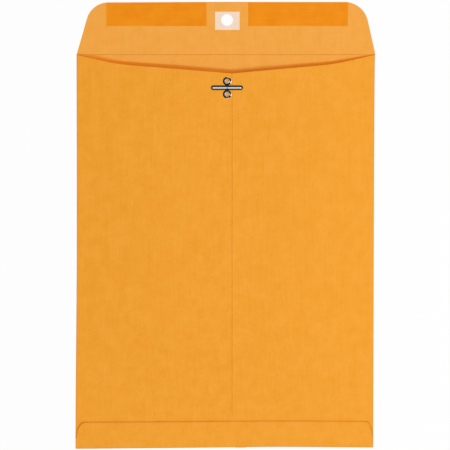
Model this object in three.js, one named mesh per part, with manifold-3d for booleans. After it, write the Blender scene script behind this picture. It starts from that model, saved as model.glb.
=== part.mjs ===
// A clasp envelope of kraft paper, 9 1/2 by 12 1/2 inches, lying open with its back up.
// Millimetres. X runs across the envelope, +Y towards the closure flap, +Z up.
// The origin is on the table, under the middle of the envelope with its flap laid out.
import * as THREE from "three";
import { mergeVertices } from "three/addons/utils/BufferGeometryUtils.js";
import Module from "manifold-3d";

const wasm = await Module();
wasm.setup();

// Paper, glue and the gaps between layers
const paperThickness = 0.16;
const gumThickness = 0.05;
const foldGap = 0.3;
const scoreGap = 0.3;
const seatClearance = 0.02;

// The folded envelope
const envelopeWidth = 241.3;
const envelopeLength = 317.5;
const mouthGape = 4.8;
const levelHalfWidth = 20;
const liftRun = 85;
const liftStart = 4;

// The mouth edge of the two back panels
const throatDepth = 15.4;
const kneeDepth = 7.8;
const kneeInset = 33;
const kneeRounding = 12;
const seamUnderlap = 13;

// The bottom flap
const bottomFlapHeight = 21.3;
const bottomFlapInset = 0.4;
const bottomCornerLeft = { across: 6.4, along: 15 };
const bottomCornerRight = { across: 4.3, along: 13.6 };
const bottomGumInset = 3;
const bottomGumWidth = 12;

// The closure flap, its hole, patch and gum
const flapLength = 42.5;
const flapTaperLeft = 0.3;
const flapTaperRight = 0.22;
const flapCorner = 16;
const holeDiameter = 9.525;
const holeFromFold = 27.9;
const patchSideMargin = 5.3;
const patchEndMargin = 2.9;
const patchCorner = 0.8;
const patchThickness = 0.09;
const gumToPatch = 6.8;
const gumWidth = 19;
const gumEdge = 0.5;

// The metal clasp
const claspOffset = 1.4;
const claspFromFold = 27;
const claspSpan = 25.6;
const prongWidth = 3.5;
const prongThickness = 0.4;
const prongSideClearance = 0.05;
const knuckleOffset = 0.5;
const ribWidth = 1.1;
const ribHeight = 0.25;
const ribTipMargin = 1.2;
const ringDiameter = 6.8;
const ringBore = 3;
const ringHeight = 0.55;
const flangeThickness = 0.2;
const lipWidth = 0.9;
const ferruleWall = 0.28;
const ferruleClearance = 0.12;
const clinchWidth = 0.5;
const clinchThickness = 0.14;
const neckThickness = 0.3;
const neckWidth = 2.8;
const neckWaist = 2;
const ringToSeam = 0.9;

// Facets
const foldSteps = 8;
const panelColumns = 15;
const rampRows = 14;
const ringSteps = 28;
const lipSteps = 7;

// Places that follow from the sizes
const halfWidth = envelopeWidth / 2;
const bottomY = -(envelopeLength + flapLength) / 2;
const foldY = bottomY + envelopeLength;
const mouthStartY = foldY - scoreGap / 2;
const ringRadius = ringDiameter / 2;
const claspY = foldY - claspFromFold;
const seamEdge = claspOffset + ringRadius + ringToSeam;
const underPanelEnd = seamEdge + seamUnderlap;

// Levels of the layers where the envelope is pressed flat
const underPanelBottom = paperThickness + foldGap;
const underPanelTop = underPanelBottom + paperThickness;
const overPanelBottom = underPanelTop + gumThickness;
const overPanelTop = overPanelBottom + paperThickness;
const bottomFlapBottom = overPanelTop + gumThickness;
const bottomFlapTop = bottomFlapBottom + paperThickness;
const leftFoldRadius = underPanelTop / 2;
const rightFoldRadius = overPanelTop / 2;
const bottomFoldRadius = bottomFlapTop / 2;
const panelBottomY = bottomY + bottomFoldRadius + foldGap;
const liftStartY = bottomY + bottomFlapHeight + liftStart;
const liftEndY = liftStartY + liftRun;
const flapPivotZ = (overPanelTop + foldGap / 2 + paperThickness) / 2;

const kraft = { color: 0xf2a23a, roughness: 0.85, metalness: 0 };
const kraftInside = { color: 0xf1a84b, roughness: 0.88, metalness: 0 };
const gum = { color: 0xf08f20, roughness: 0.4, metalness: 0 };
const glue = { color: 0xe8c890, roughness: 0.6, metalness: 0 };
const patchPaper = { color: 0xf6dcc4, roughness: 0.7, metalness: 0 };
const tinnedSteel = { color: 0xc9c9c6, roughness: 0.28, metalness: 1 };

function named(name, geometry, finish) {
  const mesh = new THREE.Mesh(geometry, new THREE.MeshStandardMaterial(finish));
  mesh.name = name;
  return mesh;
}

// Joining and cutting of closed meshes
function asSolid(geometry) {
  const bare = geometry.clone();
  bare.deleteAttribute("normal");
  bare.deleteAttribute("uv");
  const merged = mergeVertices(bare, 1e-4);
  return new wasm.Manifold(
    new wasm.Mesh({
      numProp: 3,
      vertProperties: new Float32Array(merged.attributes.position.array),
      triVerts: new Uint32Array(merged.index.array),
    }),
  );
}

function asGeometry(solid) {
  const mesh = solid.getMesh();
  const geometry = new THREE.BufferGeometry();
  geometry.setAttribute("position", new THREE.BufferAttribute(mesh.vertProperties, 3));
  geometry.setIndex(new THREE.BufferAttribute(mesh.triVerts, 1));
  geometry.computeVertexNormals();
  return geometry;
}

function joined(...geometries) {
  return asGeometry(geometries.map(asSolid).reduce((whole, piece) => whole.add(piece)));
}

function cut(geometry, ...cutters) {
  const whole = asSolid(geometry);
  return asGeometry(cutters.map(asSolid).reduce((left, tool) => left.subtract(tool), whole));
}

// A closed shell between two grids of points, with its faces turned outwards
function closedSheet(rows, columns, faces) {
  const points = [];
  for (const side of ["outer", "inner"])
    for (let i = 0; i <= rows; i++)
      for (let j = 0; j <= columns; j++) points.push(faces(i, j)[side]);
  const layer = (rows + 1) * (columns + 1);
  const at = (side, i, j) => side * layer + i * (columns + 1) + j;
  const triangles = [];
  const quad = (a, b, c, d) => triangles.push([a, b, c], [a, c, d]);
  for (let i = 0; i < rows; i++)
    for (let j = 0; j < columns; j++) {
      quad(at(0, i, j), at(0, i, j + 1), at(0, i + 1, j + 1), at(0, i + 1, j));
      quad(at(1, i, j), at(1, i + 1, j), at(1, i + 1, j + 1), at(1, i, j + 1));
    }
  for (let i = 0; i < rows; i++) {
    quad(at(0, i, 0), at(0, i + 1, 0), at(1, i + 1, 0), at(1, i, 0));
    quad(at(0, i + 1, columns), at(0, i, columns), at(1, i, columns), at(1, i + 1, columns));
  }
  for (let j = 0; j < columns; j++) {
    quad(at(0, 0, j + 1), at(0, 0, j), at(1, 0, j), at(1, 0, j + 1));
    quad(at(0, rows, j), at(0, rows, j + 1), at(1, rows, j + 1), at(1, rows, j));
  }
  const wedge = ([a, b, c]) => points[a].dot(points[b].clone().cross(points[c]));
  const volume = triangles.reduce((sum, corners) => sum + wedge(corners), 0);
  const index = volume > 0 ? triangles.flat() : triangles.flatMap(([a, b, c]) => [a, c, b]);
  const geometry = new THREE.BufferGeometry().setFromPoints(points);
  geometry.setIndex(index);
  geometry.computeVertexNormals();
  return geometry;
}

// A flat piece cut from an outline whose corners are [x, y, radius]
function outline(corners) {
  const shape = new THREE.Shape();
  corners.forEach(([x, y, radius], i) => {
    const here = new THREE.Vector2(x, y);
    const before = new THREE.Vector2(...corners.at(i - 1));
    const after = new THREE.Vector2(...corners[(i + 1) % corners.length]);
    const back = before.sub(here).normalize();
    const on = after.sub(here).normalize();
    const half = Math.acos(back.dot(on)) / 2;
    const reach = radius / Math.tan(half);
    const start = here.clone().addScaledVector(back, reach);
    const end = here.clone().addScaledVector(on, reach);
    if (i === 0) shape.moveTo(start.x, start.y);
    else shape.lineTo(start.x, start.y);
    if (radius === 0) return;
    const centre = here.clone().addScaledVector(back.add(on).normalize(), radius / Math.sin(half));
    const from = Math.atan2(start.y - centre.y, start.x - centre.x);
    const to = Math.atan2(end.y - centre.y, end.x - centre.x);
    shape.absarc(centre.x, centre.y, radius, from, to, false);
  });
  shape.closePath();
  return shape;
}

function roundHole(x, y, radius) {
  return new THREE.Path().absarc(x, y, radius, 0, 2 * Math.PI, true);
}

function sheetOf(shape, bottom, thickness) {
  const geometry = new THREE.ExtrudeGeometry(shape, {
    depth: thickness,
    bevelEnabled: false,
    curveSegments: ringSteps / 2,
  });
  return geometry.translate(0, 0, bottom);
}

// How far the back of the envelope stands above its pressed level at a place
function lift(x, y) {
  const out = (Math.abs(x) - levelHalfWidth) / (halfWidth - levelHalfWidth);
  const across = 1 - THREE.MathUtils.clamp(out, 0, 1) ** 2;
  return (mouthGape - foldGap) * across * THREE.MathUtils.smoothstep(y, liftStartY, liftEndY);
}

// The mouth edge: straight from the side fold to a rounded knee, then straight to the seam
function mouthY(side, x) {
  const inset = Math.max(halfWidth - side * x, 0);
  const toSeam = halfWidth - side * seamEdge;
  const steep = kneeDepth / kneeInset;
  const gentle = (throatDepth - kneeDepth) / (toSeam - kneeInset);
  const past = inset - kneeInset;
  if (past <= -kneeRounding) return mouthStartY - steep * inset;
  if (past >= kneeRounding) return mouthStartY - kneeDepth - gentle * past;
  const bend = ((gentle - steep) * (past + kneeRounding) ** 2) / (4 * kneeRounding);
  return mouthStartY - kneeDepth - steep * past - bend;
}

// The heights at which every lengthwise sheet has its rows, up to the mouth
const mouthRowY = claspY - ringDiameter - claspSpan / 2;
const rampLines = Array.from({ length: rampRows + 1 }, (_, i) => liftStartY + (liftRun * i) / rampRows);
const rowLines = [panelBottomY, ...rampLines, mouthRowY];

function rowY(side, x, row) {
  return row < rowLines.length ? rowLines[row] : mouthY(side, x);
}

// A point of a back panel's middle layer with the direction that faces out of the envelope
function panelStations(side, foldRadius, endX) {
  const turn = foldRadius - paperThickness / 2;
  const edge = side * (halfWidth - foldRadius);
  const stations = [];
  for (let k = 0; k <= foldSteps; k++) {
    const angle = (Math.PI * k) / foldSteps;
    const out = new THREE.Vector3(side * Math.sin(angle), 0, -Math.cos(angle));
    stations.push({ x: edge + turn * out.x, z: foldRadius + turn * out.z, out });
  }
  for (let k = 1; k <= panelColumns; k++) {
    const x = edge + ((endX - edge) * k) / panelColumns;
    stations.push({ x, z: foldRadius + turn, out: new THREE.Vector3(0, 0, 1) });
  }
  return stations;
}

// A back panel with the rounded side fold that joins it to the front panel
function backPanel(side, foldRadius, endX) {
  const stations = panelStations(side, foldRadius, endX);
  return closedSheet(stations.length - 1, rowLines.length, (i, j) => {
    const { x, z, out } = stations[i];
    const y = rowY(side, x, j);
    const rise = i >= foldSteps ? lift(x, y) : 0;
    const middle = new THREE.Vector3(x, y, z + rise);
    return {
      outer: middle.clone().addScaledVector(out, paperThickness / 2),
      inner: middle.clone().addScaledVector(out, -paperThickness / 2),
    };
  });
}

function frontPanel() {
  const left = -halfWidth + leftFoldRadius;
  const right = halfWidth - rightFoldRadius;
  const bottom = bottomY + bottomFoldRadius;
  const shape = outline([
    [left, bottom, 0],
    [right, bottom, 0],
    [right, mouthStartY, 0],
    [left, mouthStartY, 0],
  ]);
  return sheetOf(shape, 0, paperThickness);
}

// The left back panel lies under the seam and carries the clasp in two punched holes
function leftBackPanel() {
  const punchRadius = ringBore / 2 + ferruleWall + ferruleClearance;
  const punches = ringCentres.map((y) => {
    const punch = new THREE.CylinderGeometry(punchRadius, punchRadius, 4 * mouthGape, ringSteps);
    return punch.rotateX(Math.PI / 2).translate(claspOffset, y, mouthGape);
  });
  return cut(backPanel(-1, leftFoldRadius, underPanelEnd), ...punches);
}

function rightBackPanel() {
  return backPanel(1, rightFoldRadius, seamEdge);
}

// The line of glue in the centre seam, between the two back panels
function seamGum() {
  const margin = seamUnderlap / 6;
  const lines = rowLines.slice(0, -1);
  const columns = [seamEdge + margin, underPanelEnd - margin];
  return closedSheet(1, lines.length, (i, j) => {
    const y = j < lines.length ? lines[j] : mouthRowY;
    const under = new THREE.Vector3(columns[i], y, underPanelTop + lift(columns[i], y));
    const over = under.clone().setZ(under.z + gumThickness - seatClearance);
    return { outer: over, inner: under };
  });
}

// The rounded fold between the front panel and the bottom flap
function bottomFold() {
  return closedSheet(foldSteps, 1, (i, j) => {
    const angle = (Math.PI * i) / foldSteps;
    const out = new THREE.Vector3(0, -Math.sin(angle), -Math.cos(angle));
    const x = j === 0 ? -halfWidth : halfWidth;
    const axis = new THREE.Vector3(x, bottomY + bottomFoldRadius, bottomFoldRadius);
    return {
      outer: axis.clone().addScaledVector(out, bottomFoldRadius),
      inner: axis.clone().addScaledVector(out, bottomFoldRadius - paperThickness),
    };
  });
}

// The bottom flap lies on the back panels, with its two corners cut to different curves
function bottomFlap() {
  const start = bottomY + bottomFoldRadius;
  const top = bottomY + bottomFlapHeight;
  const side = halfWidth - bottomFlapInset;
  const shape = new THREE.Shape();
  const corner = ({ across, along }, x, from) =>
    shape.absellipse(x, top - along, across, along, from, from + Math.PI / 2, false);
  shape.moveTo(-halfWidth, start);
  shape.lineTo(halfWidth, start);
  corner(bottomCornerRight, side - bottomCornerRight.across, 0);
  corner(bottomCornerLeft, bottomCornerLeft.across - side, Math.PI / 2);
  shape.closePath();
  return sheetOf(shape, bottomFlapBottom, paperThickness);
}

function bottomFlapGum() {
  const top = bottomY + bottomFlapHeight - bottomGumInset;
  const half = halfWidth - bottomFlapInset - bottomCornerLeft.across;
  const shape = outline([
    [-half, top - bottomGumWidth, 0],
    [half, top - bottomGumWidth, 0],
    [half, top, 0],
    [-half, top, 0],
  ]);
  return sheetOf(shape, overPanelTop, gumThickness);
}

// The closure flap's pieces are drawn from its pivot, which is above the score line
const flapFloor = -flapPivotZ;
const flapTipLeft = -halfWidth + flapTaperLeft * flapLength;
const flapTipRight = halfWidth - flapTaperRight * flapLength;

function closureFlap() {
  const near = scoreGap / 2;
  const shape = outline([
    [-halfWidth + flapTaperLeft * near, near, 0],
    [halfWidth - flapTaperRight * near, near, 0],
    [flapTipRight, flapLength, flapCorner],
    [flapTipLeft, flapLength, flapCorner],
  ]);
  shape.holes.push(roundHole(claspOffset, holeFromFold, holeDiameter / 2));
  return sheetOf(shape, flapFloor, paperThickness);
}

function holePatch() {
  const half = holeDiameter / 2 + patchSideMargin;
  const bottom = holeFromFold - holeDiameter / 2 - patchEndMargin;
  const top = holeFromFold + holeDiameter / 2 + patchEndMargin;
  const shape = outline([
    [claspOffset - half, bottom, patchCorner],
    [claspOffset + half, bottom, patchCorner],
    [claspOffset + half, top, patchCorner],
    [claspOffset - half, top, patchCorner],
  ]);
  shape.holes.push(roundHole(claspOffset, holeFromFold, holeDiameter / 2));
  return sheetOf(shape, flapFloor + paperThickness, patchThickness);
}

// A strip of gum from beside the patch to where the flap's corner starts to turn
function gumStrip(side) {
  const taper = side < 0 ? flapTaperLeft : flapTaperRight;
  const tip = side < 0 ? flapTipLeft : flapTipRight;
  const cornerReach = flapCorner * Math.tan((Math.PI / 2 - Math.atan(taper)) / 2);
  const outer = tip - side * cornerReach;
  const inner = claspOffset + side * (holeDiameter / 2 + patchSideMargin + gumToPatch);
  const top = flapLength - gumEdge;
  const shape = outline([
    [Math.min(inner, outer), top - gumWidth, 0],
    [Math.max(inner, outer), top - gumWidth, 0],
    [Math.max(inner, outer), top, 0],
    [Math.min(inner, outer), top, 0],
  ]);
  return sheetOf(shape, flapFloor + paperThickness, gumThickness);
}

// The clasp stands on the left back panel, where the back is level
const ringOffset = prongWidth / 2 + prongSideClearance + ringRadius;
const ringCentres = [claspY - ringOffset, claspY + ringOffset];
const panelUnder = underPanelBottom + mouthGape - foldGap;
const claspSeat = panelUnder + paperThickness + seatClearance;
const neckTop = claspSeat + neckThickness;
const prongPivotZ = neckTop + seatClearance + prongThickness / 2;
const prongLength = claspSpan / 2 - knuckleOffset;

// A ring with a flat flange and a rolled lip. Its tube goes through the paper and is clinched inside
function claspRing(y) {
  const bore = ringBore / 2;
  const tube = bore + ferruleWall;
  const clinchTop = panelUnder - seatClearance;
  const clinchBottom = clinchTop - clinchThickness;
  const flangeTop = claspSeat + flangeThickness;
  const lipHalf = lipWidth / 2;
  const profile = [new THREE.Vector2(ringRadius, flangeTop)];
  for (let k = 0; k <= lipSteps; k++) {
    const angle = (Math.PI * k) / lipSteps;
    const height = flangeTop + (ringHeight - flangeThickness) * Math.sin(angle);
    profile.push(new THREE.Vector2(bore + lipHalf * (1 + Math.cos(angle)), height));
  }
  profile.push(
    new THREE.Vector2(bore, clinchBottom),
    new THREE.Vector2(tube + clinchWidth, clinchBottom),
    new THREE.Vector2(tube + clinchWidth, clinchTop),
    new THREE.Vector2(tube, clinchTop),
    new THREE.Vector2(tube, claspSeat),
    new THREE.Vector2(ringRadius, claspSeat),
  );
  profile.push(profile[0].clone());
  const ring = new THREE.LatheGeometry(profile, ringSteps);
  return ring.rotateX(Math.PI / 2).translate(claspOffset, y, 0);
}

// The waisted strip that ties the two rings together under the prongs
function claspNeck() {
  const reach = ringOffset - ringBore / 2 - ferruleWall;
  const half = neckWidth / 2;
  const waist = neckWaist - half;
  const shape = new THREE.Shape();
  shape.moveTo(-half, -reach);
  shape.lineTo(half, -reach);
  shape.quadraticCurveTo(waist, 0, half, reach);
  shape.lineTo(-half, reach);
  shape.quadraticCurveTo(-waist, 0, -half, -reach);
  return sheetOf(shape, claspSeat, neckThickness).translate(claspOffset, claspY, 0);
}

function claspBase() {
  return joined(...ringCentres.map(claspRing), claspNeck());
}

// A prong drawn from its bend: a strip with a round tip and root, and a raised rib from root to tip
function prong(side) {
  const half = prongWidth / 2;
  const shape = new THREE.Shape();
  shape.moveTo(0, -half);
  shape.lineTo(prongLength - half, -half);
  shape.absarc(prongLength - half, 0, half, -Math.PI / 2, Math.PI / 2, false);
  shape.lineTo(0, half);
  const bend = prongThickness / 2;
  const strip = sheetOf(shape, -bend, prongThickness);
  const root = new THREE.CylinderGeometry(bend, bend, prongWidth, foldSteps * 2);
  const ribLength = prongLength - ribTipMargin - ribWidth;
  const rib = new THREE.CapsuleGeometry(ribWidth / 2, ribLength, 4, 12);
  rib.rotateZ(Math.PI / 2).scale(1, 1, (2 * ribHeight) / ribWidth);
  rib.translate((prongLength - ribTipMargin) / 2, 0, bend);
  const whole = joined(strip, root, rib);
  return side < 0 ? whole.rotateZ(Math.PI) : whole;
}

const envelope = new THREE.Group();
envelope.add(
  named("front_panel", frontPanel(), kraftInside),
  named("left_back_panel", leftBackPanel(), kraft),
  named("right_back_panel", rightBackPanel(), kraft),
  named("centre_seam_gum", seamGum(), glue),
  named("bottom_fold", bottomFold(), kraft),
  named("bottom_flap", bottomFlap(), kraft),
  named("bottom_flap_gum", bottomFlapGum(), glue),
  named("clasp_base", claspBase(), tinnedSteel),
);

const flap = new THREE.Group();
flap.position.set(0, foldY, flapPivotZ);
flap.add(
  named("closure_flap", closureFlap(), kraftInside),
  named("reinforcement_patch", holePatch(), patchPaper),
  named("left_gum_strip", gumStrip(-1), gum),
  named("right_gum_strip", gumStrip(1), gum),
);
envelope.add(flap);

for (const [name, side] of [["left_prong", -1], ["right_prong", 1]]) {
  const piece = named(name, prong(side), tinnedSteel);
  piece.position.set(claspOffset + side * knuckleOffset, claspY, prongPivotZ);
  envelope.add(piece);
}

export default envelope;
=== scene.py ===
import math
from contextlib import contextmanager

import bmesh
import bpy
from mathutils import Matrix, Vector, noise

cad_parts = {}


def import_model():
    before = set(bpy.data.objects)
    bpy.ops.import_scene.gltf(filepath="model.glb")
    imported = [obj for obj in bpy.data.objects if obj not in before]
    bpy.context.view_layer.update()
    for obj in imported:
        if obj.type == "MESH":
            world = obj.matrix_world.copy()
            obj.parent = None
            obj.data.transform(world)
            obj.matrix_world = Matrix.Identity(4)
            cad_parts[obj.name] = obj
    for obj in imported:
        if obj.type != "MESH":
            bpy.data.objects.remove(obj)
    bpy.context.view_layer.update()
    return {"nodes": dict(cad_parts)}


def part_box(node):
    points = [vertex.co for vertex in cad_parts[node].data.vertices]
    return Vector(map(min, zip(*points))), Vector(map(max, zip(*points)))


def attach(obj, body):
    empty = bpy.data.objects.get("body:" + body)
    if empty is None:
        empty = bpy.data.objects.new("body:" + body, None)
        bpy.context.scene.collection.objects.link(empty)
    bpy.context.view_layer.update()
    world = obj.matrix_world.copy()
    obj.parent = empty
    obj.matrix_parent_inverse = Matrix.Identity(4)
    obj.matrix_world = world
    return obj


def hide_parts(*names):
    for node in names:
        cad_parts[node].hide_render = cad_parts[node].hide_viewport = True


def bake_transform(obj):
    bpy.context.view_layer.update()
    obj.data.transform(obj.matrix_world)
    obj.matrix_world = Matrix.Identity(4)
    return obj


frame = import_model()

MM = 0.001

# The working model's places
front_low, front_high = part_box("front_panel")
left_low, left_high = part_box("left_back_panel")
right_low, right_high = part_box("right_back_panel")
_, bottom_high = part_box("bottom_flap")
fold_low, fold_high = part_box("bottom_fold")
flap_low, flap_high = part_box("closure_flap")
patch_low, patch_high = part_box("reinforcement_patch")
base_low, base_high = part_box("clasp_base")
paper_thickness = front_high.z - front_low.z
half_width = bottom_high.x
fold_y = (front_high.y + flap_low.y) / 2
left_fold_radius = front_low.x - left_low.x
right_fold_radius = right_high.x - front_high.x
bottom_fold_radius = fold_high.y - fold_low.y
seam_x = right_low.x
hole = (patch_low + patch_high) / 2
clasp = (base_low + base_high) / 2
ring_radius = (base_high.x - base_low.x) / 2
ring_offset = (base_high.y - base_low.y) / 2 - ring_radius

# How fine the meshes are. Points nearer than weld are one point.
cell = 2.5 * MM
patch_cell = 1 * MM
gum_cell = 2 * MM
prong_cell = 0.16 * MM
round_steps = 64
weld = 1e-7
touching = 1e-6

# The back's lens shape
level_half_width = 20 * MM
lift_height = left_high.z - 2 * left_fold_radius
lift_start = bottom_high.y + 4 * MM
lift_run = 85 * MM

# The mouth edge. The panels are drawn to it from a line below the clasp.
throat_depth = 15.4 * MM
knee_depth = 7.8 * MM
knee_inset = 33 * MM
knee_rounding = 12 * MM
mouth_from = clasp.y - 25 * MM

# How far the painted shade reaches past the mouth edge, by side: the most, and where in from the
# fold it grows
mouth_painted_shade = {-1: (2.6 * MM, -5 * MM, 17 * MM), 1: (2.2 * MM, -3 * MM, 26 * MM)}

# The closure flap, with a hole of 3/8 inch
taper_left = 0.286
taper_right = 0.226
straight_right = 1.4 * MM
corner_left = 18.3 * MM
corner_right = 19.4 * MM
hole_radius = 9.525 / 2 * MM
score_half = 0.35 * MM
score_ridge = 0.05 * MM

# The bottom flap: how far its sides lie in, and each corner's side, reaches and curve's power
bottom_inset = 0.4 * MM
bottom_corners = [(-1, 6.4 * MM, 15 * MM, 2), (1, 4.3 * MM, 13.6 * MM, 1.6)]
corner_start = 4

# The painted shade along the bottom flap's free edge, which is wider within a little way of its
# corners
painted_edge_shade_width = 1 * MM
painted_edge_shade_less = 0.34
painted_edge_shade_corner = (12 * MM, 5 * MM)

# The curled free edges of the bottom flap and of the seam, which lies still at the clasp
curl_width = 2.2 * MM
curl_height = 0.5 * MM
curl_cuts = (0.33, 0.66, 1)
seam_curl_width = 1.8 * MM
seam_curl_height = 0.27 * MM
seam_curl_cuts = (0.4, 1)
seam_curl_start = 15 * MM
seam_still = (7 * MM, 13 * MM)

# How uneven the sheets are, and how far from an edge, the clasp or the score they lie still
wave_height = 0.07 * MM
wave_length = 46 * MM
calm_edge = 25 * MM
calm_clasp = (12 * MM, 40 * MM)
calm_score = 12 * MM
back_seed = 3.7
front_seed = 9.2
gum_seed = 1.3

# The bottom edge's bow: its height, its reach up the sheets and its run across them
bow_height = 1.54 * MM
bow_reach = 60 * MM
bow_full = 0.65
bow_power = 1.2
bow_fall = 0.3
bow_fall_from = 0.7

# The slope of the flap's free edge, and how far each side is drawn in between its ends
top_slope = 0.42 * MM
top_slope_run = (15 * MM, 95 * MM)
waist_left = 1.0 * MM
waist_left_run = (-175 * MM, -10 * MM)
waist_left_lost = 0.18
waist_left_lost_from = 30 * MM
waist_right = 1.42 * MM
waist_right_run = 278 * MM

# Where the patch and the gum strips end against the working model's, and the gum film's edge
patch_shift_left = 0.4 * MM
patch_shift_bottom = -0.3 * MM
patch_shift_top = -1 * MM
gum_more = {"left_gum_strip": 0.4 * MM, "right_gum_strip": 0.5 * MM}
gum_edge_width = 0.6 * MM
gum_edge_fall = 0.8
gum_edge_wave = 7 * MM
gum_edge_depth = 0.12 * MM

# The clasp's eyelets
ring_bore = 1.25 * MM
tube_wall = 0.28 * MM
clinch_width = 0.5 * MM
clinch_thickness = 0.14 * MM
flange_thickness = 0.2 * MM
flange_edge = 0.05 * MM
lip_width = 0.85 * MM
lip_steps = 12
rim_width = 0.45 * MM
clasp_seat = left_high.z + 0.02 * MM
lip_bright = 0.75

# Where the tool pressed each eyelet's flange down, in degrees, by side, and how far
pressed_places = {-1: (-5, -82), 1: (75, -12)}
pressed_depth = 0.12 * MM
pressed_half = 30
pressed_fade = 22
pressed_rim = 0.1 * MM
pressed_above = 0.01 * MM
# How bright the pressed spots are painted, as painted highlights
pressed_highlight = 0.9

# The neck between the eyelets
neck_width = 2.8 * MM
neck_waist = 0.28
neck_cuts = 11
neck_end_gap = 0.1 * MM
neck_bottom = clasp_seat + 0.04 * MM
neck_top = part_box("left_prong")[0].z - 0.02 * MM
neck_bevel = 0.06 * MM

# The prongs and their raised ribs
prong_thickness = 0.4 * MM
prong_bevel = 0.05 * MM
prong_bevel_angle = math.radians(68)
tip_steps = 12
rib_half_width = 0.6 * MM
rib_off_middle = 0.14 * MM
rib_rise = (0.9 * MM, 2.0 * MM)
rib_power = 1.3
# Where the rib's bright tin starts; below it the strip is painted dark, as painted dark reflection
rib_bright_from = 0.2


# The shape that the sheets share


def ramp(value, low, high):
    """Nought up to low and one from high, with an even rise between them."""
    share = min(max((value - low) / (high - low), 0), 1)
    return share * share * (3 - 2 * share)


def lift(x, y):
    """How far the back stands above its pressed level, as in the working model."""
    out = (abs(x) - level_half_width) / (half_width - level_half_width)
    across = 1 - min(max(out, 0), 1) ** 2
    return lift_height * across * ramp(y, lift_start, lift_start + lift_run)


def mouth_y(side, x):
    """The mouth edge: straight from the side fold to a rounded knee, then straight to the seam."""
    inset = max(half_width - side * x, 0)
    steep = knee_depth / knee_inset
    gentle = (throat_depth - knee_depth) / (half_width - side * seam_x - knee_inset)
    past = inset - knee_inset
    if past <= -knee_rounding:
        return front_high.y - steep * inset
    if past >= knee_rounding:
        return front_high.y - knee_depth - gentle * past
    bend = (gentle - steep) * (past + knee_rounding) ** 2 / (4 * knee_rounding)
    return front_high.y - knee_depth - steep * past - bend


def from_clasp(x, y):
    return math.hypot(x - clasp.x, y - clasp.y)


def wave(x, y, seed):
    """The slight unevenness of a sheet, none at its folds and round the clasp."""
    edge = min(half_width - abs(x), y - fold_low.y)
    calm = ramp(edge, 0, calm_edge) * ramp(from_clasp(x, y), *calm_clasp)
    return wave_height * calm * noise.noise(Vector((x / wave_length, y / wave_length, seed)))


def back_wave(x, y):
    return wave(x, y, back_seed)


def table_wave(x, y):
    """The front sheet only lifts off the table, and lies still at its score line."""
    still = ramp(abs(y - fold_y), 0, calm_score)
    risen = (wave(x, y, front_seed) + wave_height) / 2
    return still * risen * ramp(half_width - abs(x), 0, calm_edge)


def drift(x, y):
    """How far the real sheet is out of true: its sides and ends are drawn in a little."""
    along = max(x + half_width, 0) / (2 * half_width)
    near = 1 - ramp(y, fold_low.y, fold_low.y + bow_reach)
    bowed = min(along / bow_full, 1) ** bow_power
    eased = 1 - bow_fall * ramp(along, bow_fall_from, 1)
    up = bow_height * near * bowed * eased
    up -= top_slope * ramp(-x, *top_slope_run) * max(y - fold_y, 0) / (flap_high.y - fold_y)
    if x < 0:
        lost = waist_left_lost * ramp(y, waist_left_lost_from, fold_y)
        inward = waist_left * (ramp(y, *waist_left_run) - lost)
    else:
        inward = waist_right * math.sqrt(max(fold_y - y, 0) / waist_right_run)
    return Vector((-inward * x / half_width, up, 0))


def drawn(co):
    return co + drift(co.x, co.y)


def undrawn(co):
    return co - drift(co.x, co.y)


# Working on one piece at a time


def deselect():
    bpy.ops.object.select_all(action="DESELECT")


def take(piece):
    deselect()
    piece.select_set(True)
    bpy.context.view_layer.objects.active = piece


def settle(piece, name):
    """Names a piece and puts its place and size into its mesh."""
    piece.name = piece.data.name = name
    take(piece)
    bpy.ops.object.transform_apply(location=True, rotation=True, scale=True)
    return piece


@contextmanager
def opened(piece):
    """Edit mode on one piece."""
    take(piece)
    bpy.ops.object.mode_set(mode="EDIT")
    yield
    bpy.ops.object.mode_set(mode="OBJECT")


def choose_edges(test):
    """Selects the edges of the opened piece whose ends both pass a test."""
    bpy.ops.mesh.select_mode(type="EDGE")
    bpy.ops.mesh.select_all(action="DESELECT")
    data = bpy.context.object.data
    mesh = bmesh.from_edit_mesh(data)
    for edge in mesh.edges:
        edge.select_set(all(test(vert.co) for vert in edge.verts))
    bmesh.update_edit_mesh(data)


def join_seams(threshold):
    """Joins the doubled points of the opened piece and turns its faces outwards."""
    bpy.ops.mesh.select_all(action="SELECT")
    bpy.ops.mesh.remove_doubles(threshold=threshold)
    bpy.ops.mesh.normals_make_consistent(inside=False)


def apply(piece, kind, **settings):
    """Adds a modifier and applies it."""
    take(piece)
    modifier = piece.modifiers.new(kind.lower(), kind)
    for key, value in settings.items():
        setattr(modifier, key, value)
    bpy.ops.object.modifier_apply(modifier=modifier.name)


def smooth(piece, angle=35):
    take(piece)
    bpy.ops.object.shade_smooth_by_angle(angle=math.radians(angle))


def move(piece, change):
    """Moves each point of a mesh to where a function says."""
    for vert in piece.data.vertices:
        vert.co = change(vert.co.copy())


def mark(piece, name, value_at, kind="FLOAT"):
    """Keeps a value for each point of a mesh, for the piece's finish to read."""
    kept = piece.data.attributes.new(name, kind, "POINT")
    for vert, place in zip(piece.data.vertices, kept.data):
        value = value_at(vert.co)
        if kind == "FLOAT_VECTOR":
            place.vector = value
        else:
            place.value = value


def mark_places(piece):
    """Keeps each point's place on the true sheet, in millimetres, for the paper's pattern."""
    mark(piece, "on_sheet", lambda co: undrawn(co) / MM, "FLOAT_VECTOR")


def flat_sheet(name, left, right, bottom, top, height, size=cell):
    deselect()
    bpy.ops.mesh.primitive_grid_add(
        x_subdivisions=max(1, round((right - left) / size)),
        y_subdivisions=max(1, round((top - bottom) / size)),
        size=1,
        location=((left + right) / 2, (bottom + top) / 2, height),
    )
    piece = bpy.context.object
    piece.scale = (right - left, top - bottom, 1)
    return settle(piece, name)


def cut_at(point, across, clear=False):
    """A straight cut through the opened sheet. With clear, what lies beyond it goes."""
    facing = Vector(across).normalized()
    bpy.ops.mesh.select_all(action="SELECT")
    bpy.ops.mesh.bisect(plane_co=point, plane_no=facing, clear_outer=clear, threshold=weld)


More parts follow.
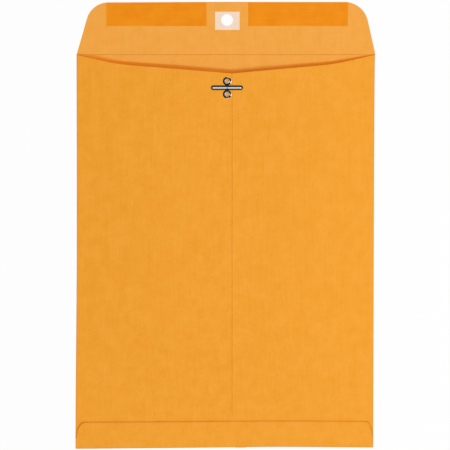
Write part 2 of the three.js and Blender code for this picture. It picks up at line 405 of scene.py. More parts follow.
def round_corner(centre, reach_x, reach_y, start, end, power=2, steps=14):
    """Trims a corner of the opened sheet to an oval curve, with cuts that touch the curve."""
    for k in range(steps + 1):
        angle = math.radians(start + (end - start) * k / steps)
        c, s = math.cos(angle), math.sin(angle)
        on_x = reach_x * math.copysign(abs(c) ** (2 / power), c)
        on_y = reach_y * abs(s) ** (2 / power)
        facing_x = math.copysign(abs(c) ** (2 - 2 / power), c) / reach_x
        facing_y = abs(s) ** (2 - 2 / power) / reach_y
        cut_at((centre[0] + on_x, centre[1] + on_y, 0), (facing_x, facing_y, 0), clear=True)


def fold_under(test, centre, axis, angle, steps=10):
    """Rolls the opened sheet's chosen edge round a fold, as half a turn."""
    choose_edges(test)
    bpy.ops.mesh.spin(steps=steps, angle=angle, center=centre, axis=axis)
    join_seams(weld)


def face_up(piece):
    """Turns an open sheet over if its widest part faces down."""
    if sum(face.normal.z * face.area for face in piece.data.polygons) < 0:
        with opened(piece):
            bpy.ops.mesh.select_all(action="SELECT")
            bpy.ops.mesh.flip_normals()


def thicken(piece, thickness=paper_thickness, offset=0):
    """Gives a sheet its thickness, with its second and third finish inside and on the cut edge."""
    apply(
        piece, "SOLIDIFY", thickness=thickness, offset=offset, use_even_offset=True,
        material_offset=1, material_offset_rim=2,
    )


def punch_hole(piece, depth=40 * MM):
    """The closure flap's round hole, through a finished sheet."""
    deselect()
    bpy.ops.mesh.primitive_cylinder_add(
        vertices=round_steps, radius=hole_radius, depth=depth, location=(hole.x, hole.y, 0),
    )
    cutter = bpy.context.object
    apply(piece, "BOOLEAN", operation="DIFFERENCE", object=cutter, solver="EXACT")
    bpy.data.objects.remove(cutter)


def dress(piece, *finishes):
    piece.data.materials.clear()
    for finish in finishes:
        piece.data.materials.append(finish)


# Node tools

# The Mix node's colour sockets, and where most of a noise's values lie
mix_first = 6
mix_second = 7
mix_result = 2
noise_range = (0.3, 0.7)


def srgb(red, green, blue):
    def linear(value):
        share = value / 255
        return share / 12.92 if share <= 0.04045 else ((share + 0.055) / 1.055) ** 2.4

    return (linear(red), linear(green), linear(blue), 1)


def feed(tree, value, socket):
    if isinstance(value, bpy.types.NodeSocket):
        tree.links.new(value, socket)
    else:
        socket.default_value = value


def add(tree, kind, **settings):
    made = tree.nodes.new("ShaderNode" + kind)
    for key, value in settings.items():
        setattr(made, key, value)
    return made


def maths(tree, operation, first, second=0.0, clamp=False):
    made = add(tree, "Math", operation=operation, use_clamp=clamp)
    feed(tree, first, made.inputs[0])
    feed(tree, second, made.inputs[1])
    return made.outputs[0]


def plus(tree, first, second, clamp=False):
    return maths(tree, "ADD", first, second, clamp)


def times(tree, first, second):
    return maths(tree, "MULTIPLY", first, second)


def gap(tree, first, second):
    """How far apart two values are."""
    return maths(tree, "ABSOLUTE", maths(tree, "SUBTRACT", first, second))


def spread(tree, value, low, high, to_low=0.0, to_high=1.0, steps="LINEAR"):
    """Takes low to to_low and high to to_high, and what lies between them to between."""
    made = add(tree, "MapRange", interpolation_type=steps)
    for place, number in enumerate((value, low, high, to_low, to_high)):
        feed(tree, number, made.inputs[place])
    return made.outputs[0]


def mixed(tree, share, first, second, way="MIX"):
    made = add(tree, "Mix", data_type="RGBA", blend_type=way)
    feed(tree, share, made.inputs[0])
    feed(tree, first, made.inputs[mix_first])
    feed(tree, second, made.inputs[mix_second])
    return made.outputs[mix_result]


def turned(tree, place, angle=0.0, scale=(1, 1, 1), offset=(0, 0, 0)):
    made = add(tree, "Mapping")
    feed(tree, place, made.inputs["Vector"])
    made.inputs["Location"].default_value = offset
    made.inputs["Rotation"].default_value = (0, 0, math.radians(angle))
    made.inputs["Scale"].default_value = scale
    return made.outputs[0]


def clouds(tree, place, scale=1.0, detail=2.0, rough=0.5):
    made = add(tree, "TexNoise")
    feed(tree, place, made.inputs["Vector"])
    made.inputs["Scale"].default_value = scale
    made.inputs["Detail"].default_value = detail
    made.inputs["Roughness"].default_value = rough
    return made.outputs["Fac"]


def kept_value(tree, name, output="Fac"):
    """What a piece keeps for each point under a name."""
    return add(tree, "Attribute", attribute_name=name).outputs[output]


def sheet_place(tree):
    """The place on the flat sheet, in millimetres."""
    return kept_value(tree, "on_sheet", "Vector")


def object_place(tree):
    """The place in the piece's own space, in millimetres."""
    own_place = add(tree, "TexCoord").outputs["Object"]
    return turned(tree, own_place, scale=(1 / MM, 1 / MM, 1 / MM))


def group(name, inputs, outputs):
    """A new shader node group with its sockets, as (tree, input sockets, output sockets)."""
    tree = bpy.data.node_groups.new(name, "ShaderNodeTree")
    for label, kind, value in inputs:
        socket = tree.interface.new_socket(label, in_out="INPUT", socket_type="NodeSocket" + kind)
        socket.default_value = value
    for label, kind in outputs:
        tree.interface.new_socket(label, in_out="OUTPUT", socket_type="NodeSocket" + kind)
    return tree, tree.nodes.new("NodeGroupInput").outputs, tree.nodes.new("NodeGroupOutput").inputs


def use(tree, shared, **values):
    made = add(tree, "Group", node_tree=shared)
    for label, value in values.items():
        feed(tree, value, made.inputs[label])
    return made.outputs


def material(name):
    made = bpy.data.materials.new(name)
    made.use_nodes = True
    return made, made.node_tree, made.node_tree.nodes["Principled BSDF"]


def bump(tree, shader, height, distance, strength):
    made = add(tree, "Bump")
    made.inputs["Strength"].default_value = strength
    made.inputs["Distance"].default_value = distance
    feed(tree, height, made.inputs["Height"])
    feed(tree, made.outputs[0], shader.inputs["Normal"])


# The effects that the finishes share


def kraft_group():
    """Kraft pulp: cloudy formation, machine streaks, long fibres, fine grain and dark specks."""
    formation_share, streak_share, grain_share, fibre_share = 0.8, 0.45, 1.1, 0.2
    base_tone = 0.43
    fibre_turns = (14, -38, 71, 118)
    fibre_width = 0.035
    speck_scale = 0.16
    speck_edge = (0.04, 0.075)
    speck_chance = (0.55, 0.6)
    speck_share = 0.55
    tree, given, made = group(
        "kraft_pulp",
        [
            ("Place", "Vector", (0, 0, 0)),
            ("Pale", "Color", (1, 1, 1, 1)),
            ("Deep", "Color", (0, 0, 0, 1)),
            ("Speck", "Color", (0, 0, 0, 1)),
        ],
        [("Color", "Color"), ("Roughness", "Float"), ("Height", "Float")],
    )
    place = given["Place"]
    formation = clouds(tree, place, scale=0.11, detail=4, rough=0.6)
    streaks = clouds(tree, turned(tree, place, scale=(0.9, 0.03, 1)), detail=3)
    grain = clouds(tree, place, scale=2.2, detail=4, rough=0.7)
    fibres = 0.0
    for number, angle in enumerate(fibre_turns):
        lying = turned(tree, place, angle, scale=(0.35, 3.1, 1), offset=(9.0 * number, 4.0, number))
        line = gap(tree, clouds(tree, lying, detail=1), 0.5)
        fibres = plus(tree, fibres, spread(tree, line, 0.0, fibre_width, 1.0, 0.0))

    speck = add(tree, "TexVoronoi", feature="F1")
    feed(tree, place, speck.inputs["Vector"])
    speck.inputs["Scale"].default_value = speck_scale
    dot = spread(tree, speck.outputs["Distance"], *speck_edge, 1.0, 0.0)
    chance = add(tree, "SeparateColor")
    feed(tree, speck.outputs["Color"], chance.inputs[0])
    dot = times(tree, dot, spread(tree, chance.outputs[0], *speck_chance))

    def around_middle(pattern, share):
        return times(tree, maths(tree, "SUBTRACT", pattern, 0.5), share)

    tone = around_middle(formation, formation_share)
    tone = plus(tree, tone, around_middle(streaks, streak_share))
    tone = plus(tree, tone, around_middle(grain, grain_share))
    tone = plus(tree, tone, times(tree, fibres, fibre_share))
    tone = plus(tree, tone, base_tone, clamp=True)
    colour = mixed(tree, tone, given["Deep"], given["Pale"])
    colour = mixed(tree, times(tree, dot, speck_share), colour, given["Speck"])
    feed(tree, colour, made["Color"])
    feed(tree, spread(tree, grain, *noise_range, 0.74, 0.92), made["Roughness"])
    feed(tree, plus(tree, times(tree, fibres, 0.35), times(tree, grain, 0.9)), made["Height"])
    return tree


def crease_group():
    """How dark a fold or score is painted, partly as wear and partly as painted shade: strongest on
    the line, broken up along it.
    """
    tree, given, made = group(
        "crease_wear_and_shade",
        [
            ("Place", "Vector", (0, 0, 0)),
            ("Across", "Float", 0),
            ("Line", "Float", 0),
            ("Width", "Float", 1),
        ],
        [("Mask", "Float")],
    )
    away = maths(tree, "DIVIDE", gap(tree, given["Across"], given["Line"]), given["Width"])
    near = spread(tree, away, 0.0, 1.0, 1.0, 0.0, "SMOOTHSTEP")
    broken = spread(tree, clouds(tree, given["Place"], scale=1.3, detail=3), 0.3, 0.6, 0.55, 1.0)
    feed(tree, times(tree, near, broken), made["Mask"])
    return tree


def rubbing_group():
    """Fine rubbing lines and blotches of tin, as tone, roughness and height."""
    tree, given, made = group(
        "tin_rubbing",
        [("Place", "Vector", (0, 0, 0))],
        [("Tone", "Float"), ("Roughness", "Float"), ("Height", "Float")],
    )
    lines = clouds(tree, turned(tree, given["Place"], scale=(0.8, 26, 8)), detail=3)
    blotch = clouds(tree, given["Place"], scale=1.4, detail=3)
    feed(tree, spread(tree, blotch, *noise_range), made["Tone"])
    line_rough = spread(tree, lines, *noise_range, 0.0, 0.04)
    blotch_rough = spread(tree, blotch, *noise_range, 0.05, 0.11)
    feed(tree, plus(tree, line_rough, blotch_rough), made["Roughness"])
    feed(tree, lines, made["Height"])
    return tree


kraft_pulp = kraft_group()
crease_wear_and_shade = crease_group()
tin_rubbing = rubbing_group()


# The finishes. A worn line, partly wear and partly painted shade, is (axis, place, width,
# strength), in millimetres.
fold_wear_and_shade = (0.8, 0.6)
score_wear_and_shade = (0.55, 0.75)
side_lines = [(0, side * half_width / MM, *fold_wear_and_shade) for side in (-1, 1)]
bottom_line = (1, fold_low.y / MM, *fold_wear_and_shade)
score_line = (1, fold_y / MM, *score_wear_and_shade)
# How far the painted shade past the mouth edge fades out
painted_shade_fade = 1.3
# The painted shade along the bottom flap's free edge: the span it fades over, and how strong it is
# at most
painted_edge_shade_range = (0.3, 0.7)
painted_edge_shade_most = 0.75


def kraft(name, pale, deep, speck, wear_and_shade, lines=(), painted_shade_tint=None):
    """Kraft paper with dark lines on its folds and score, partly wear and partly painted shade, and
    painted shade along the bottom flap's free edge. A deeper tint paints the shade under and past
    the mouth edge.
    """
    made, tree, shader = material(name)
    place = sheet_place(tree)
    pulp = use(tree, kraft_pulp, Place=place, Pale=pale, Deep=deep, Speck=speck)
    axes = add(tree, "SeparateXYZ")
    feed(tree, place, axes.inputs[0])
    colour = pulp["Color"]
    # Painted shade: a deeper tint under and past the mouth edge, and over all of a piece that keeps
    # no such mark
    if painted_shade_tint:
        past = kept_value(tree, "past_painted_shade")
        painted_shade_band = spread(tree, past, 0.0, painted_shade_fade, 1.0, 0.0, "SMOOTHSTEP")
        colour = mixed(tree, painted_shade_band, colour, painted_shade_tint, "MULTIPLY")
    # Painted shade: a darker line along the bottom flap's free edge
    painted_edge_shade = spread(tree, kept_value(tree, "painted_edge_shade"), *painted_edge_shade_range, 0.0, painted_edge_shade_most)
    colour = mixed(tree, painted_edge_shade, colour, wear_and_shade)
    # Dark lines on the folds and score: partly wear, partly painted shade
    for axis, line, width, strength in lines:
        across = axes.outputs[axis]
        mask = use(tree, crease_wear_and_shade, Place=place, Across=across, Line=line, Width=width)["Mask"]
        colour = mixed(tree, times(tree, mask, strength), colour, wear_and_shade)
    feed(tree, colour, shader.inputs["Base Color"])
    feed(tree, pulp["Roughness"], shader.inputs["Roughness"])
    shader.inputs["Specular IOR Level"].default_value = 0.25
    bump(tree, shader, pulp["Height"], distance=0.03 * MM, strength=0.5)
    return made


def gum_finish():
    """Dry gum: a smooth amber film with brush streaks and small dull patches."""
    made, tree, shader = material("dry_gum")
    place = sheet_place(tree)
    streaks = clouds(tree, turned(tree, place, scale=(0.05, 1.5, 1)), detail=3)
    pools = clouds(tree, place, scale=0.09, detail=3)
    streak_tone = spread(tree, streaks, *noise_range, 0.0, 0.45)
    pool_tone = spread(tree, pools, *noise_range, 0.0, 0.55)
    tone = plus(tree, streak_tone, pool_tone)
    colour = mixed(tree, tone, srgb(238, 134, 6), srgb(246, 150, 14))
    feed(tree, colour, shader.inputs["Base Color"])
    feed(tree, spread(tree, pools, *noise_range, 0.32, 0.5), shader.inputs["Roughness"])
    shader.inputs["Specular IOR Level"].default_value = 0.25
    bump(tree, shader, streaks, distance=0.02 * MM, strength=0.3)
    return made


def patch_finish():
    """Thin white reinforcement paper, through which the kraft shows a little."""
    made, tree, shader = material("patch_paper")
    pulp = use(
        tree, kraft_pulp, Place=sheet_place(tree),
        Pale=srgb(250, 228, 207), Deep=srgb(242, 210, 182), Speck=srgb(228, 186, 148),
    )
    feed(tree, pulp["Color"], shader.inputs["Base Color"])
    feed(tree, pulp["Roughness"], shader.inputs["Roughness"])
    shader.inputs["Specular IOR Level"].default_value = 0.3
    bump(tree, shader, pulp["Height"], distance=0.02 * MM, strength=0.4)
    return made


def glue_finish():
    """Dried seam glue between the sheets."""
    made, tree, shader = material("dried_glue")
    pools = clouds(tree, object_place(tree), scale=0.6, detail=4)
    colour = mixed(tree, pools, srgb(214, 176, 112), srgb(240, 212, 160))
    feed(tree, colour, shader.inputs["Base Color"])
    feed(tree, spread(tree, pools, *noise_range, 0.35, 0.6), shader.inputs["Roughness"])
    bump(tree, shader, pools, distance=0.02 * MM, strength=0.4)
    return made


def tin_finish():
    """Tinned steel, bright on what stands out and painted dark on its low parts, as painted dark
    reflection and shade.
    """
    made, tree, shader = material("tinned_steel")
    tin = use(tree, tin_rubbing, Place=object_place(tree))
    bright = mixed(tree, tin["Tone"], srgb(226, 226, 227), srgb(240, 240, 240))
    # Painted dark reflection and shade on the low and flat parts
    painted_dark = mixed(tree, tin["Tone"], srgb(104, 100, 96), srgb(142, 138, 134))
    bright_share = kept_value(tree, "bright_share")
    feed(tree, mixed(tree, bright_share, painted_dark, bright), shader.inputs["Base Color"])
    shader.inputs["Metallic"].default_value = 1
    low_gloss = spread(tree, bright_share, 0.0, 0.6, -0.06, 0.0)
    feed(tree, plus(tree, tin["Roughness"], low_gloss), shader.inputs["Roughness"])
    bump(tree, shader, tin["Height"], distance=0.003 * MM, strength=0.1)
    return made


outside = kraft(
    "kraft_outside",
    pale=srgb(249, 170, 63), deep=srgb(234, 149, 18), speck=srgb(190, 112, 34),
    # The wear colour paints the fold and score lines, partly wear and partly painted shade, and the
    # shade along the bottom flap's edge
    wear_and_shade=srgb(206, 118, 36), lines=[*side_lines, bottom_line, score_line],
)
inside = kraft(
    "kraft_inside",
    pale=srgb(250, 174, 83), deep=srgb(237, 157, 46), speck=srgb(196, 120, 46),
    # The deeper tint is painted shade under and past the mouth edge. The wear colour also paints
    # shade on the score and along the bottom flap's edge
    wear_and_shade=srgb(205, 122, 44), lines=[score_line], painted_shade_tint=(1.0, 0.68, 0.24, 1),
)
cut_edge = kraft(
    "kraft_cut_edge",
    pale=srgb(240, 168, 78), deep=srgb(214, 134, 52), speck=srgb(180, 104, 36),
    # Here the wear colour only paints the shade along the bottom flap's edge
    wear_and_shade=srgb(206, 118, 36),
)
gum = gum_finish()
patch_paper = patch_finish()
dried_glue = glue_finish()
tinned_steel = tin_finish()


# The paper


def past_painted_shade(co):
    """How far a point of the front sheet lies past the painted shade along the mouth edge, in
    millimetres.
    """
    x, y, _ = undrawn(co)
    side = -1 if x < seam_x else 1
    most, *grows = mouth_painted_shade[side]
    painted_shade_band = most * ramp(half_width - abs(x), *grows)
    return (y - mouth_y(side, x) - painted_shade_band) / MM


def front_sheet():
    """The front panel and the closure flap, one sheet with a score line between them."""
    level = front_low.z + paper_thickness / 2
    piece = flat_sheet("front_sheet", -half_width, half_width, front_low.y, flap_high.y, level)
    with opened(piece):
        for y in (front_high.y, flap_low.y, fold_y, fold_y - score_half, fold_y + score_half):
            cut_at((0, y, 0), (0, 1, 0))
        sides = ((-1, taper_left, 0, corner_left), (1, taper_right, straight_right, corner_right))
        for side, taper, straight, corner in sides:
            cut_at((side * half_width, fold_y + straight, 0), (side, taper, 0), clear=True)
            centre_y = flap_high.y - corner
            edge_x = side * (half_width - taper * (centre_y - fold_y - straight))
            centre_x = edge_x - side * corner * math.hypot(1, taper)
            slant = math.degrees(math.atan(taper))
            start = 180 - slant if side < 0 else slant
            round_corner((centre_x, centre_y), corner, corner, start, 90)

    def shaped(co):
        if co.y <= front_high.y:
            co.x = min(max(co.x, front_low.x), front_high.x)
        ridge = score_ridge * max(0, 1 - abs(co.y - fold_y) / score_half)
        return drawn(Vector((co.x, co.y, co.z + table_wave(co.x, co.y) + ridge)))

    move(piece, shaped)
    dress(piece, inside, outside, cut_edge)
    thicken(piece)
    punch_hole(piece)
    smooth(piece)
    mark_places(piece)
    # Where the painted shade past the mouth edge falls
    mark(piece, "past_painted_shade", past_painted_shade)
    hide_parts("front_panel", "closure_flap")
    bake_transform(piece)


def back_panel(name, node, side, radius, free_edge):
    """A back panel with the rounded side fold that joins it to the front sheet."""
    edge = side * (half_width - radius)
    low_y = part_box(node)[0].y
    level = 2 * radius - paper_thickness / 2
    piece = flat_sheet(name, min(edge, free_edge), max(edge, free_edge), low_y, front_high.y, level)
    with opened(piece):
        for share in seam_curl_cuts:
            cut_at((free_edge + share * side * seam_curl_width, 0, 0), (1, 0, 0))
        turn = -side * math.pi
        fold_under(lambda co: abs(co.x - edge) < touching, (edge, 0, radius), (0, 1, 0), turn)
    face_up(piece)

    def curl(co):
        """The upper sheet's free edge stands up a little at the seam, except at the clasp."""
        near = max(1 - abs(co.x - free_edge) / seam_curl_width, 0)
        away = ramp(from_clasp(co.x, co.y), *seam_still)
        below = ramp(co.y, bottom_high.y, bottom_high.y + seam_curl_start)
        return seam_curl_height * near**2 * away * below if side > 0 else 0

    def shaped(co):
        if co.y > mouth_from:
            share = (co.y - mouth_from) / (front_high.y - mouth_from)
            co.y = mouth_from + share * (mouth_y(side, co.x) - mouth_from)
        if co.z > radius:
            co.z += lift(co.x, co.y) + back_wave(co.x, co.y) + curl(co)
        return drawn(co)

    move(piece, shaped)
    dress(piece, outside, inside, cut_edge)
    thicken(piece)
    smooth(piece)
    mark_places(piece)
    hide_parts(node)
    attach(piece, "envelope")


def from_free_edge(co):
    """How far a point of the bottom flap is from its free edge."""
    away = bottom_high.y - co.y
    for side, reach_x, reach_y, power in bottom_corners:
        across = (side * co.x - half_width + bottom_inset + reach_x) / reach_x
        along = (co.y - bottom_high.y + reach_y) / reach_y
        if across > 0 and along > 0:
            away = min(away, reach_x * max(1 - (across**power + along**power) ** (1 / power), 0))
    return away


def bottom_painted_edge_shade(co):
    """How near a point is to the painted shade along the bottom flap's free edge, which is widest
    at the corners.
    """
    co = undrawn(co)
    if co.z <= bottom_fold_radius:
        return 0
    corner = ramp(abs(co.x), *(half_width - inset for inset in painted_edge_shade_corner))
    return 1 - from_free_edge(co) / painted_edge_shade_width - painted_edge_shade_less * (1 - corner)


def bottom_flap():
    """The bottom flap, folded up over the back panels and glued, its free edge slightly raised."""
    level = 2 * bottom_fold_radius - paper_thickness / 2
    start = fold_high.y
    piece = flat_sheet("bottom_flap_sheet", -half_width, half_width, start, bottom_high.y, level)
    with opened(piece):
        for share in curl_cuts:
            cut_at((0, bottom_high.y - share * curl_width, 0), (0, 1, 0))
        for side, reach_x, reach_y, power in bottom_corners:
            centre = (side * (half_width - bottom_inset - reach_x), bottom_high.y - reach_y)
            start_angle = (180 if side < 0 else 0) + side * corner_start
            round_corner(centre, reach_x, reach_y, start_angle, 90, power)
        pivot = (0, start, bottom_fold_radius)
        fold_under(lambda co: abs(co.y - start) < touching, pivot, (1, 0, 0), -math.pi)
    face_up(piece)

    def shaped(co):
        if co.z > bottom_fold_radius:
            curl = curl_height * max(1 - from_free_edge(co) / curl_width, 0) ** 2
            co.z += back_wave(co.x, co.y) + curl
        return drawn(co)

    move(piece, shaped)
    dress(piece, outside, inside, cut_edge)
    thicken(piece)
    smooth(piece)
    mark_places(piece)
    # Painted shade along the free edge, widest at the corners
    mark(piece, "painted_edge_shade", bottom_painted_edge_shade)
    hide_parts("bottom_flap", "bottom_fold")
    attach(piece, "envelope")


# What lies on the closure flap


def lay_on_flap(piece):
    """Lays a flat piece on the uneven flap."""
    move(piece, lambda co: Vector((co.x, co.y, co.z + table_wave(co.x, co.y))))


def hole_patch():
    """The reinforcement patch round the hole."""
    piece = flat_sheet(
        "hole_patch", patch_low.x + patch_shift_left, patch_high.x,
        patch_low.y + patch_shift_bottom, patch_high.y + patch_shift_top, patch_high.z, patch_cell,
    )
    lay_on_flap(piece)
    dress(piece, patch_paper, patch_paper, patch_paper)
    thicken(piece, patch_high.z - patch_low.z, offset=-1)
    punch_hole(piece)
    smooth(piece)
    mark_places(piece)
    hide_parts("reinforcement_patch")
    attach(piece, "flap")


def gum_film(node):
    """A strip of dry gum: a film that thins out at its slightly uneven edges."""
    low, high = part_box(node)
    high.x += gum_more[node]
    middle = (low + high) / 2
    piece = flat_sheet(node + "_film", low.x, high.x, low.y, high.y, high.z, gum_cell)
    with opened(piece):
        bpy.ops.mesh.select_all(action="SELECT")
        bpy.ops.mesh.inset(thickness=gum_edge_width, depth=0)

    def shaped(co):
        edge = min(co.x - low.x, high.x - co.x, co.y - low.y, high.y - co.y)
        if edge < gum_edge_width / 2:
            co.z -= (high.z - low.z) * gum_edge_fall
            inward = Vector((middle.x - co.x, middle.y - co.y, 0)).normalized()
            uneven = noise.noise(Vector((co.x / gum_edge_wave, co.y / gum_edge_wave, gum_seed)))
            co += inward * gum_edge_depth * (1 + uneven)
        return co

    move(piece, shaped)
    lay_on_flap(piece)
    dress(piece, gum, gum, gum)
    thicken(piece, (high.z - low.z) * (1 - gum_edge_fall), offset=-1)
    smooth(piece)
    mark_places(piece)
    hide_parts(node)
    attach(piece, "flap")


# The clasp


def drawn_line(name, points):
    """A line of points, extruded one after another from a single point."""
    deselect()
    bpy.ops.mesh.primitive_plane_add(size=MM, location=(0, 0, 0))
    piece = bpy.context.object
    piece.name = piece.data.name = name
    with opened(piece):
        bpy.ops.mesh.select_mode(type="VERT")
        bpy.ops.mesh.select_all(action="SELECT")
        bpy.ops.mesh.merge(type="CENTER")
        bpy.ops.transform.translate(value=points[0])
        for before, after in zip(points, points[1:]):
            step = [b - a for a, b in zip(before, after)]
            bpy.ops.mesh.extrude_region_move(TRANSFORM_OT_translate={"value": step})
    return piece


def pressed_share(co, side):
    """One where the tool pressed an eyelet's flange down, nought a little way off."""
    across = co.x - clasp.x
    along = co.y - (clasp.y + side * ring_offset)
    around = math.degrees(math.atan2(along, across))
    apart = min(abs((around - place + 180) % 360 - 180) for place in pressed_places[side])
    on_rim = math.hypot(across, along) > ring_radius - pressed_rim
    on_top = co.z > clasp_seat + pressed_above
    return ramp(pressed_half - apart, 0, pressed_fade) if on_rim and on_top else 0


def eyelet(name, side):
    """A ring with a flat flange and a rolled lip, its tube through the paper and clinched below."""
    flange = clasp_seat + flange_thickness
    clinch = base_low.z + clinch_thickness
    tube = ring_bore + tube_wall
    roll = lip_width / 2
    points = [
        (ring_radius, 0, clasp_seat),
        (ring_radius, 0, flange - flange_edge),
        (ring_radius - flange_edge, 0, flange),
        (ring_radius - rim_width, 0, flange),
    ]
    for k in range(lip_steps + 1):
        angle = math.pi * k / lip_steps
        rise = (base_high.z - flange) * math.sin(angle)
        points.append((ring_bore + roll + roll * math.cos(angle), 0, flange + rise))
    points += [
        (ring_bore, 0, base_low.z + flange_edge),
        (ring_bore + flange_edge, 0, base_low.z),
        (tube + clinch_width - flange_edge, 0, base_low.z),
        (tube + clinch_width, 0, base_low.z + flange_edge),
        (tube + clinch_width, 0, clinch),
        (tube, 0, clinch),
        (tube, 0, clasp_seat),
        (ring_radius, 0, clasp_seat),
    ]
    piece = drawn_line(name, points)
    with opened(piece):
        bpy.ops.mesh.select_all(action="SELECT")
        bpy.ops.mesh.spin(steps=round_steps, angle=2 * math.pi, center=(0, 0, 0), axis=(0, 0, 1))
        join_seams(touching)
    piece.location = (clasp.x, clasp.y + side * ring_offset, 0)
    settle(piece, name)

    def pressed(co):
        co.z -= pressed_depth * pressed_share(co, side)
        return co

    move(piece, pressed)
    return piece


def clasp_base():
    """Two eyelets tied by a waisted strip."""
    base = eyelet("clasp_rings", -1)
    upper = eyelet("upper_eyelet", 1)
    reach = ring_offset - ring_bore - tube_wall - neck_end_gap
    middle = (clasp.x, clasp.y, (neck_top + neck_bottom) / 2)
    deselect()
    bpy.ops.mesh.primitive_cube_add(size=1, location=middle)
    neck = bpy.context.object
    neck.scale = (neck_width, 2 * reach, neck_top - neck_bottom)
    settle(neck, "clasp_neck")
    with opened(neck):
        bpy.ops.mesh.select_all(action="SELECT")
        bpy.ops.mesh.subdivide(number_cuts=neck_cuts)

    def waisted(co):
        share = 1 - abs(co.y - clasp.y) / reach
        co.x = clasp.x + (co.x - clasp.x) * (1 - neck_waist * ramp(share, 0, 1))
        return co

    move(neck, waisted)
    apply(neck, "BEVEL", width=neck_bevel, segments=2, limit_method="ANGLE")
    for piece in (upper, neck):
        apply(base, "BOOLEAN", operation="UNION", object=piece, solver="EXACT")
        bpy.data.objects.remove(piece)

    def bright_share_at(co):
        """The lips are bright on top, and what the tool pressed is painted bright as a highlight.
        """
        on_lip = lip_bright * ramp(co.z, clasp_seat + flange_thickness, base_high.z)
        side = 1 if co.y > clasp.y else -1
        return max(on_lip, pressed_highlight * pressed_share(co, side))

    dress(base, tinned_steel)
    smooth(base)
    # Bright tin on the lips, painted highlights on the pressed spots, painted dark reflection and
    # shade elsewhere
    mark(base, "bright_share", bright_share_at)
    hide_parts("clasp_base")
    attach(base, "envelope")


def prong(name, node, body, side):
    """A prong: a stamped strip with a raised rib and a round tip."""
    low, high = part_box(node)
    half = (high.y - low.y) / 2
    tip, root = (low.x, high.x) if side < 0 else (high.x, low.x)
    strip_top = low.z + prong_thickness
    rib_height = high.z - strip_top
    centre_x = tip - side * half
    centre_y = (low.y + high.y) / 2
    piece = flat_sheet(name, min(tip, root), max(tip, root), low.y, high.y, strip_top, prong_cell)
    with opened(piece):
        for turn in (90, -90):
            for k in range(1, tip_steps + 1):
                angle = math.radians((180 if side < 0 else 0) + turn * k / tip_steps)
                across, along = math.cos(angle), math.sin(angle)
                on_tip = (centre_x + half * across, centre_y + half * along, 0)
                cut_at(on_tip, (across, along, 0), clear=True)

    def stamped(co):
        rise = rib_height * ramp(abs(tip - co.x), *rib_rise)
        across = abs(co.y - centre_y + rib_off_middle)
        co.z += rise * (1 - min(across / rib_half_width, 1) ** rib_power)
        return co

    move(piece, stamped)
    dress(piece, tinned_steel)
    apply(piece, "SOLIDIFY", thickness=prong_thickness, offset=-1, use_even_offset=True)
    apply(
        piece, "BEVEL", width=prong_bevel, segments=2, limit_method="ANGLE",
        angle_limit=prong_bevel_angle,
    )
    smooth(piece, angle=40)
    # Bright tin on the rib, painted dark reflection on the strip's flat parts
    bright_z = strip_top + rib_bright_from * rib_height
    mark(piece, "bright_share", lambda co: ramp(co.z, strip_top, bright_z))
    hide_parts(node)
    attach(piece, body)


front_sheet()
back_panel("left_back_sheet", "left_back_panel", -1, left_fold_radius, left_high.x)
back_panel("right_back_sheet", "right_back_panel", 1, right_fold_radius, seam_x)
bottom_flap()
hole_patch()
gum_film("left_gum_strip")
gum_film("right_gum_strip")
clasp_base()
prong("left_prong_strip", "left_prong", "clasp_left", -1)
prong("right_prong_strip", "right_prong", "clasp_right", 1)
for node in ("centre_seam_gum", "bottom_flap_gum"):
    for slot in frame["nodes"][node].material_slots:
        slot.material = dried_glue


# The set: floor, lamps, world and camera
floor_glow = 0.88
floor_drop = 0.05 * MM
frame_width = 362.6 * MM
camera_height = 1.6
sensor = 36.0


def seen_ray(tree):
    """One for rays from the camera and off gloss or through glass, and nought for other light."""
    path = add(tree, "LightPath")
    seen = plus(tree, path.outputs["Is Camera Ray"], path.outputs["Is Glossy Ray"])
    return plus(tree, seen, path.outputs["Is Transmission Ray"], clamp=True)


def either(tree, share, first, second, output):
    """Sends the output one shader or the other, by share."""
    blend = add(tree, "MixShader")
    feed(tree, share, blend.inputs[0])
    feed(tree, first.outputs[0], blend.inputs[1])
    feed(tree, second.outputs[0], blend.inputs[2])
    feed(tree, blend.outputs[0], tree.nodes[output].inputs["Surface"])


def floor():
    deselect()
    bpy.ops.mesh.primitive_plane_add(size=8, location=(0, 0, -floor_drop))
    piece = settle(bpy.context.object, "table")
    made, tree, shader = material("table_white")
    shader.inputs["Base Color"].default_value = (0.9, 0.9, 0.9, 1)
    shader.inputs["Roughness"].default_value = 0.9
    shader.inputs["Specular IOR Level"].default_value = 0.0
    glow = add(tree, "Emission")
    glow.inputs["Color"].default_value = (1, 1, 1, 1)
    either(tree, times(tree, seen_ray(tree), floor_glow), shader, glow, "Material Output")
    dress(piece, made)


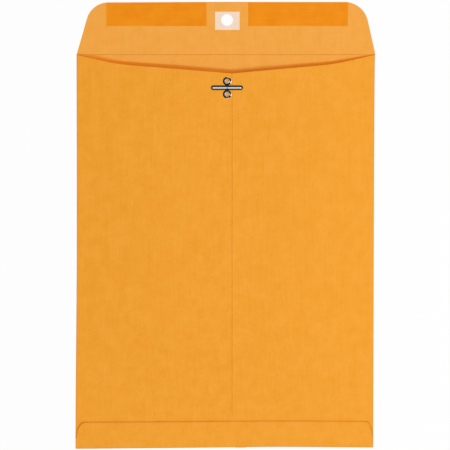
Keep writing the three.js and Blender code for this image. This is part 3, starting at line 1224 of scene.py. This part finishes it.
def world(fill):
    made = bpy.data.worlds.new("studio")
    bpy.context.scene.world = made
    made.use_nodes = True
    tree = made.node_tree
    dim = tree.nodes["Background"]
    dim.inputs["Color"].default_value = (1, 1, 1, 1)
    dim.inputs["Strength"].default_value = fill
    white = add(tree, "Background")
    white.inputs["Color"].default_value = (1, 1, 1, 1)
    either(tree, seen_ray(tree), dim, white, "World Output")


def place_lamp(data, direction, distance, in_gloss):
    """Puts a lamp in one direction from the envelope, aimed at it."""
    piece = bpy.data.objects.new(data.name, data)
    bpy.context.scene.collection.objects.link(piece)
    piece.visible_glossy = in_gloss
    towards = Vector(direction).normalized()
    piece.location = towards * distance
    piece.rotation_euler = towards.to_track_quat("Z", "Y").to_euler()


def sun(name, direction, power, width):
    """Soft light from one direction, which gloss doesn't show. Its width is in degrees."""
    data = bpy.data.lights.new(name, "SUN")
    data.energy = power
    data.angle = math.radians(width)
    place_lamp(data, direction, distance=2, in_gloss=False)


def disk(name, direction, distance, power, width):
    data = bpy.data.lights.new(name, "AREA")
    data.energy = power
    data.shape = "DISK"
    data.size = width
    place_lamp(data, direction, distance, in_gloss=True)


def dark_card():
    """A dark card over the clasp, seen only by reflections."""
    deselect()
    bpy.ops.mesh.primitive_circle_add(
        vertices=48, radius=0.5, fill_type="NGON", location=(0, 0.2, 1.15),
    )
    piece = settle(bpy.context.object, "dark_card")
    made, _, shader = material("card_black")
    shader.inputs["Base Color"].default_value = (0.012, 0.012, 0.012, 1)
    dress(piece, made)
    for seen in ("camera", "diffuse", "shadow", "transmission", "volume_scatter"):
        setattr(piece, "visible_" + seen, False)


floor()
world(fill=0.38)
sun("key", direction=(0.1, -0.8, 1.0), power=0.67, width=6)
sun("front", direction=(-0.1, 0.8, 1.0), power=0.99, width=24)
disk("side", direction=(0.95, -0.15, 1.0), distance=1.4, power=5.6, width=0.7)
dark_card()

camera = bpy.data.objects.new("camera", bpy.data.cameras.new("camera"))
bpy.context.scene.collection.objects.link(camera)
camera.location = (-0.27 * MM, 0.23 * MM, camera_height)
camera.data.sensor_width = sensor
camera.data.lens = sensor * camera_height / frame_width
camera.data.clip_end = 50
bpy.context.scene.camera = camera
bpy.context.scene.view_settings.view_transform = "Standard"
